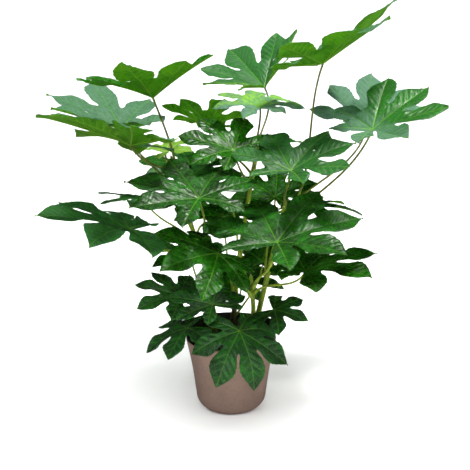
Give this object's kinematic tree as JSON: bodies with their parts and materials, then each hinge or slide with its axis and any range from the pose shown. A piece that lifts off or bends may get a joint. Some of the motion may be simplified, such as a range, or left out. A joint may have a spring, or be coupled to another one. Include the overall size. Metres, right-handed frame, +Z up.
{
  "type": "potted fatsia japonica plant",
  "caption": "Potted fatsia japonica: large glossy hand-shaped leaves on long stalks from woody canes, in soil in a black nursery pot set in a round-bottomed matt cover pot",
  "frame": {"origin": "middle of the flat underside of the cover pot", "axes": "+Z up along the pot's axis, -Y towards the side that the picture shows, +X to the right of that view"},
  "size_m": [0.9635, 0.8263, 0.9977],
  "materials": {
    "pot_clay": "matt, softly mottled mauve-brown",
    "nursery_plastic": "satin black",
    "peat": "dark, loose and matt",
    "cane_bark": "green-brown with ringed leaf scars",
    "leaf": "glossy above, paler and matt below",
    "young_leaf": "soft gloss, light green"
  },
  "bodies": {
    "root": {"pot": "pot_clay", "nursery_pot": "nursery_plastic", "soil": "peat", "cane_left": "cane_bark", "cane_back": "cane_bark", "cane_right": "cane_bark", "cane_front": "cane_bark", "cane_low": "cane_bark", "leaf_01": "leaf", "leaf_02": "leaf", "leaf_03": "leaf", "leaf_04": "young_leaf", "leaf_05": "leaf", "leaf_06": "leaf", "leaf_07": "leaf", "leaf_08": "leaf", "leaf_09": "leaf", "leaf_10": "leaf", "leaf_11": "leaf", "leaf_12": "leaf", "leaf_13": "leaf", "leaf_14": "leaf", "leaf_15": "leaf", "leaf_16": "leaf", "leaf_17": "leaf", "leaf_18": "leaf", "leaf_19": "leaf", "leaf_20": "leaf", "leaf_21": "leaf", "leaf_22": "leaf", "leaf_23": "leaf", "leaf_24": "leaf", "leaf_25": "leaf", "leaf_26": "leaf", "leaf_27": "leaf", "leaf_28": "leaf", "leaf_29": "leaf", "leaf_30": "leaf", "leaf_31": "leaf", "leaf_32": "leaf", "leaf_33": "leaf"}
  },
  "joints": []
}
